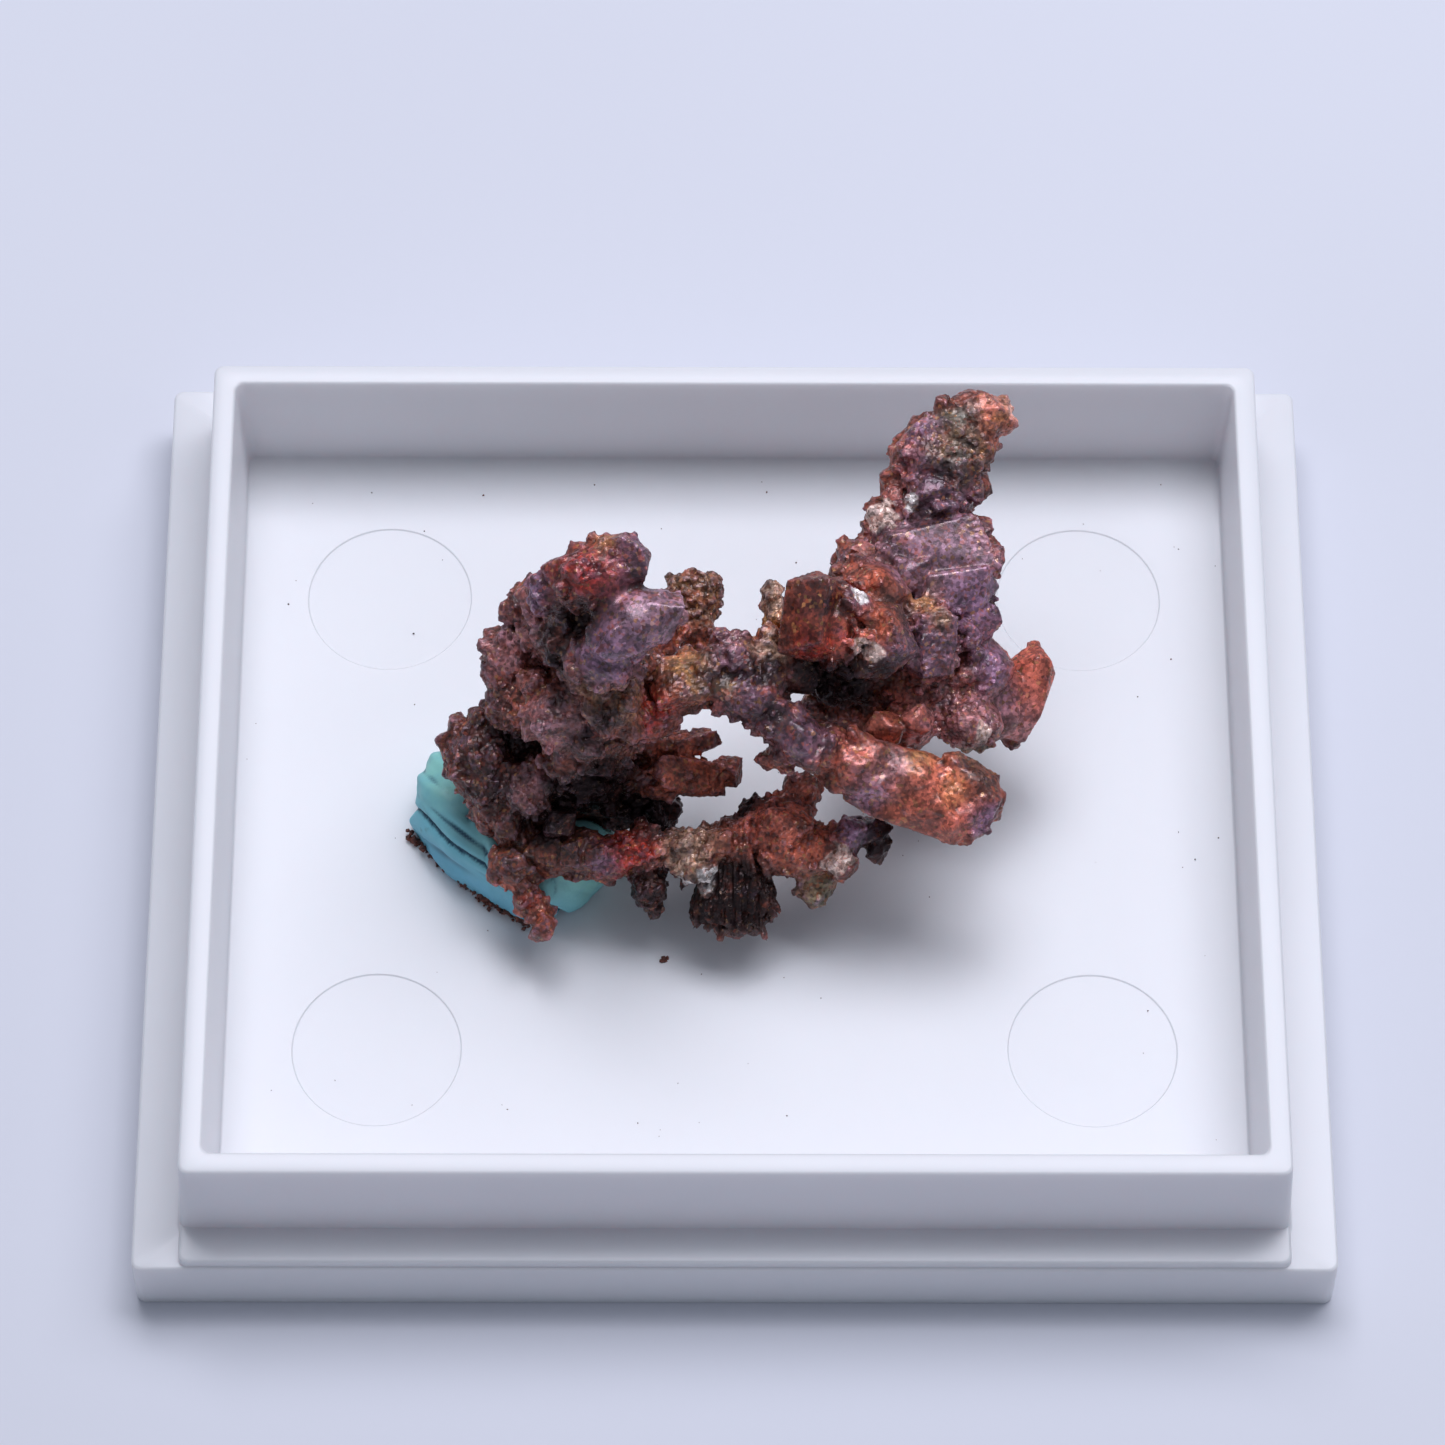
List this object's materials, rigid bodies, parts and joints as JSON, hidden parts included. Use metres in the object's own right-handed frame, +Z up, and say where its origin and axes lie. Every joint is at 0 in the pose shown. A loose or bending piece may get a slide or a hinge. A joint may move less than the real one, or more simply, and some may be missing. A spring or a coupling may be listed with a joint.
{
  "type": "native copper specimen in a display box base",
  "caption": "Branching native copper nugget, crusted and tarnished, held by a dab of putty in the shallow white plastic base of a rectangular specimen box.",
  "frame": {"origin": "centre of the underside of the box base", "axes": "+X along the long side of the base, towards the tapering spire of the copper; -Y towards the front; +Z up"},
  "size_m": [0.0498, 0.043, 0.0223],
  "materials": {
    "white_plastic": "satin moulded white",
    "putty": "matte kneaded putty",
    "copper": "crusted red-brown and mauve tarnish"
  },
  "bodies": {
    "root": {"box_base": "white_plastic", "putty": "putty", "left_cluster": "copper", "back_bridge": "copper", "right_spire": "copper", "right_lobe": "copper", "front_branch": "copper"}
  },
  "joints": []
}
